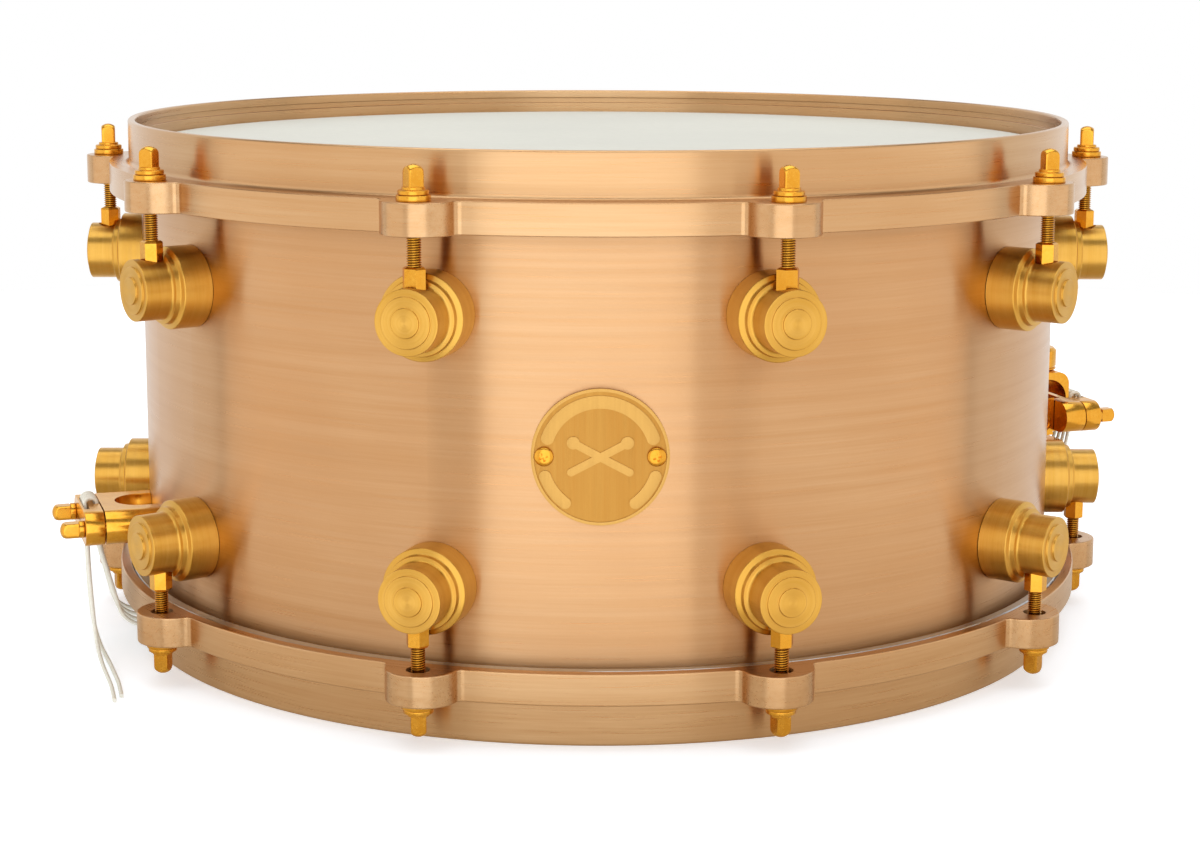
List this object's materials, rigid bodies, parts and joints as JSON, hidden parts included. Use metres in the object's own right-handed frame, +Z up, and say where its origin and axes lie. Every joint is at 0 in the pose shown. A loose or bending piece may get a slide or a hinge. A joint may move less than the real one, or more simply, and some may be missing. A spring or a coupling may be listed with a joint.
{
  "type": "snare drum",
  "caption": "Snare drum with a brushed bronze shell, round tube lugs, straight hoops with ears, white heads, snare wires, a butt plate and a lever strainer.",
  "frame": {"origin": "centre of the snare-side rim's edge, on the surface that the drum stands on", "axes": "+Z up along the drum's axis towards the batter head; -Y towards the badge; the butt plate is on the -X side and the strainer on the +X side"},
  "size_m": [0.4264, 0.3842, 0.1952],
  "materials": {
    "shell_bronze": "satin, brushed round the circumference",
    "hoop_bronze": "satin brushed",
    "gold": "satin gold plate",
    "rod_gold": "satin gold plate, rolled thread",
    "badge_gold": "vertically brushed",
    "film": "coated white film",
    "flesh_hoop": "rolled",
    "cord": "braided white nylon",
    "steel": "zinc-plated steel",
    "wire": "drawn wire"
  },
  "bodies": {
    "shell": {"shell": "shell_bronze", "badge": "badge_gold", "badge_screws": "gold", "batter_lugs": "gold", "snare_lugs": "gold", "batter_receivers": "gold", "snare_receivers": "gold", "lug_screws": "steel", "butt_plate": "gold", "butt_clamp": "gold", "butt_clamp_screws": "gold", "butt_mount_screws": "steel", "butt_cord": "cord", "cord_tail_front": "cord", "cord_tail_back": "cord", "strainer_housing": "gold", "strainer_mount_screws": "steel", "batter_head": "film", "batter_flesh_hoop": "flesh_hoop", "snare_head": "film", "snare_flesh_hoop": "flesh_hoop"},
    "batter_hoop": {"batter_hoop": "hoop_bronze", "batter_washers": "gold"},
    "snare_hoop": {"snare_hoop": "hoop_bronze", "snare_washers": "gold"},
    "knob": {"tension_knob": "gold", "adjuster_screw": "steel"},
    "adjuster": {"adjuster_block": "gold"},
    "lever": {"lever": "gold", "lever_shaft": "gold"},
    "carriage": {"carriage": "gold", "strainer_clamp": "gold", "strainer_clamp_screws": "gold", "strainer_cord": "cord"},
    "wires": {"snare_wires": "wire", "wire_plate_butt": "wire", "wire_plate_strainer": "wire"},
    "batter_rod_01": {"batter_rod_01": "rod_gold"},
    "batter_rod_02": {"batter_rod_02": "rod_gold"},
    "batter_rod_03": {"batter_rod_03": "rod_gold"},
    "batter_rod_04": {"batter_rod_04": "rod_gold"},
    "batter_rod_05": {"batter_rod_05": "rod_gold"},
    "batter_rod_06": {"batter_rod_06": "rod_gold"},
    "batter_rod_07": {"batter_rod_07": "rod_gold"},
    "batter_rod_08": {"batter_rod_08": "rod_gold"},
    "batter_rod_09": {"batter_rod_09": "rod_gold"},
    "batter_rod_10": {"batter_rod_10": "rod_gold"},
    "snare_rod_01": {"snare_rod_01": "rod_gold"},
    "snare_rod_02": {"snare_rod_02": "rod_gold"},
    "snare_rod_03": {"snare_rod_03": "rod_gold"},
    "snare_rod_04": {"snare_rod_04": "rod_gold"},
    "snare_rod_05": {"snare_rod_05": "rod_gold"},
    "snare_rod_06": {"snare_rod_06": "rod_gold"},
    "snare_rod_07": {"snare_rod_07": "rod_gold"},
    "snare_rod_08": {"snare_rod_08": "rod_gold"},
    "snare_rod_09": {"snare_rod_09": "rod_gold"},
    "snare_rod_10": {"snare_rod_10": "rod_gold"}
  },
  "joints": [
    {"name": "batter_tuning", "type": "slide", "parent": "shell", "child": "batter_hoop", "axis": [0, 0, 1], "range_m": [0, 0.003]},
    {"name": "snare_tuning", "type": "slide", "parent": "shell", "child": "snare_hoop", "axis": [0, 0, -1], "range_m": [0, 0.003]},
    {"name": "batter_rod_01_turn", "type": "hinge", "parent": "batter_hoop", "child": "batter_rod_01", "pos_m": [0.0591, -0.18189, 0.1794], "axis": [0, 0, 1], "range_deg": [-5, 1371]},
    {"name": "batter_rod_02_turn", "type": "hinge", "parent": "batter_hoop", "child": "batter_rod_02", "pos_m": [0.15473, -0.11241, 0.1794], "axis": [0, 0, 1], "range_deg": [-5, 1371]},
    {"name": "batter_rod_03_turn", "type": "hinge", "parent": "batter_hoop", "child": "batter_rod_03", "pos_m": [0.19125, 0, 0.1794], "axis": [0, 0, 1], "range_deg": [-5, 1371]},
    {"name": "batter_rod_04_turn", "type": "hinge", "parent": "batter_hoop", "child": "batter_rod_04", "pos_m": [0.15473, 0.11241, 0.1794], "axis": [0, 0, 1], "range_deg": [-5, 1371]},
    {"name": "batter_rod_05_turn", "type": "hinge", "parent": "batter_hoop", "child": "batter_rod_05", "pos_m": [0.0591, 0.18189, 0.1794], "axis": [0, 0, 1], "range_deg": [-5, 1371]},
    {"name": "batter_rod_06_turn", "type": "hinge", "parent": "batter_hoop", "child": "batter_rod_06", "pos_m": [-0.0591, 0.18189, 0.1794], "axis": [0, 0, 1], "range_deg": [-5, 1371]},
    {"name": "batter_rod_07_turn", "type": "hinge", "parent": "batter_hoop", "child": "batter_rod_07", "pos_m": [-0.15473, 0.11241, 0.1794], "axis": [0, 0, 1], "range_deg": [-5, 1371]},
    {"name": "batter_rod_08_turn", "type": "hinge", "parent": "batter_hoop", "child": "batter_rod_08", "pos_m": [-0.19125, 0, 0.1794], "axis": [0, 0, 1], "range_deg": [-5, 1371]},
    {"name": "batter_rod_09_turn", "type": "hinge", "parent": "batter_hoop", "child": "batter_rod_09", "pos_m": [-0.15473, -0.11241, 0.1794], "axis": [0, 0, 1], "range_deg": [-5, 1371]},
    {"name": "batter_rod_10_turn", "type": "hinge", "parent": "batter_hoop", "child": "batter_rod_10", "pos_m": [-0.0591, -0.18189, 0.1794], "axis": [0, 0, 1], "range_deg": [-5, 1371]},
    {"name": "snare_rod_01_turn", "type": "hinge", "parent": "snare_hoop", "child": "snare_rod_01", "pos_m": [0.0591, -0.18189, 0.0158], "axis": [0, 0, -1], "range_deg": [-5, 1371]},
    {"name": "snare_rod_02_turn", "type": "hinge", "parent": "snare_hoop", "child": "snare_rod_02", "pos_m": [0.15473, -0.11241, 0.0158], "axis": [0, 0, -1], "range_deg": [-5, 1371]},
    {"name": "snare_rod_03_turn", "type": "hinge", "parent": "snare_hoop", "child": "snare_rod_03", "pos_m": [0.19125, 0, 0.0158], "axis": [0, 0, -1], "range_deg": [-5, 1371]},
    {"name": "snare_rod_04_turn", "type": "hinge", "parent": "snare_hoop", "child": "snare_rod_04", "pos_m": [0.15473, 0.11241, 0.0158], "axis": [0, 0, -1], "range_deg": [-5, 1371]},
    {"name": "snare_rod_05_turn", "type": "hinge", "parent": "snare_hoop", "child": "snare_rod_05", "pos_m": [0.0591, 0.18189, 0.0158], "axis": [0, 0, -1], "range_deg": [-5, 1371]},
    {"name": "snare_rod_06_turn", "type": "hinge", "parent": "snare_hoop", "child": "snare_rod_06", "pos_m": [-0.0591, 0.18189, 0.0158], "axis": [0, 0, -1], "range_deg": [-5, 1371]},
    {"name": "snare_rod_07_turn", "type": "hinge", "parent": "snare_hoop", "child": "snare_rod_07", "pos_m": [-0.15473, 0.11241, 0.0158], "axis": [0, 0, -1], "range_deg": [-5, 1371]},
    {"name": "snare_rod_08_turn", "type": "hinge", "parent": "snare_hoop", "child": "snare_rod_08", "pos_m": [-0.19125, 0, 0.0158], "axis": [0, 0, -1], "range_deg": [-5, 1371]},
    {"name": "snare_rod_09_turn", "type": "hinge", "parent": "snare_hoop", "child": "snare_rod_09", "pos_m": [-0.15473, -0.11241, 0.0158], "axis": [0, 0, -1], "range_deg": [-5, 1371]},
    {"name": "snare_rod_10_turn", "type": "hinge", "parent": "snare_hoop", "child": "snare_rod_10", "pos_m": [-0.0591, -0.18189, 0.0158], "axis": [0, 0, -1], "range_deg": [-5, 1371]},
    {"name": "knob_turn", "type": "hinge", "parent": "shell", "child": "knob", "pos_m": [0.18641, 0.06057, 0.0846], "axis": [0, 0, -1], "range_deg": [-455, 455]},
    {"name": "adjuster_slide", "type": "slide", "parent": "shell", "child": "adjuster", "axis": [0, 0, 1], "range_m": [-0.001, 0.001], "deforming": ["strainer_cord"]},
    {"name": "lever_throw", "type": "hinge", "parent": "adjuster", "child": "lever", "pos_m": [0.18536, 0.06023, 0.063], "axis": [-0.309, 0.9511, 0], "range_deg": [-0.5, 90.5]},
    {"name": "carriage_slide", "type": "slide", "parent": "adjuster", "child": "carriage", "axis": [0, 0, -1], "range_m": [0, 0.0032]},
    {"name": "wires_drop", "type": "hinge", "parent": "shell", "child": "wires", "pos_m": [-0.15512, -0.0504, 0.0086], "axis": [-0.309, 0.9511, 0], "range_deg": [0, 0.58]}
  ],
  "couplings": [
    {"joint": "batter_rod_01_turn", "follows": "batter_tuning", "rad_per_m": 7915.8},
    {"joint": "batter_rod_02_turn", "follows": "batter_tuning", "rad_per_m": 7915.8},
    {"joint": "batter_rod_03_turn", "follows": "batter_tuning", "rad_per_m": 7915.8},
    {"joint": "batter_rod_04_turn", "follows": "batter_tuning", "rad_per_m": 7915.8},
    {"joint": "batter_rod_05_turn", "follows": "batter_tuning", "rad_per_m": 7915.8},
    {"joint": "batter_rod_06_turn", "follows": "batter_tuning", "rad_per_m": 7915.8},
    {"joint": "batter_rod_07_turn", "follows": "batter_tuning", "rad_per_m": 7915.8},
    {"joint": "batter_rod_08_turn", "follows": "batter_tuning", "rad_per_m": 7915.8},
    {"joint": "batter_rod_09_turn", "follows": "batter_tuning", "rad_per_m": 7915.8},
    {"joint": "batter_rod_10_turn", "follows": "batter_tuning", "rad_per_m": 7915.8},
    {"joint": "snare_rod_01_turn", "follows": "snare_tuning", "rad_per_m": 7915.8},
    {"joint": "snare_rod_02_turn", "follows": "snare_tuning", "rad_per_m": 7915.8},
    {"joint": "snare_rod_03_turn", "follows": "snare_tuning", "rad_per_m": 7915.8},
    {"joint": "snare_rod_04_turn", "follows": "snare_tuning", "rad_per_m": 7915.8},
    {"joint": "snare_rod_05_turn", "follows": "snare_tuning", "rad_per_m": 7915.8},
    {"joint": "snare_rod_06_turn", "follows": "snare_tuning", "rad_per_m": 7915.8},
    {"joint": "snare_rod_07_turn", "follows": "snare_tuning", "rad_per_m": 7915.8},
    {"joint": "snare_rod_08_turn", "follows": "snare_tuning", "rad_per_m": 7915.8},
    {"joint": "snare_rod_09_turn", "follows": "snare_tuning", "rad_per_m": 7915.8},
    {"joint": "snare_rod_10_turn", "follows": "snare_tuning", "rad_per_m": 7915.8},
    {"joint": "knob_turn", "follows": "adjuster_slide", "rad_per_m": 7854},
    {"joint": "lever_throw", "follows": "carriage_slide", "rad_per_m": 490.87},
    {"joint": "wires_drop", "follows": "carriage_slide", "rad_per_m": 3.0657}
  ]
}
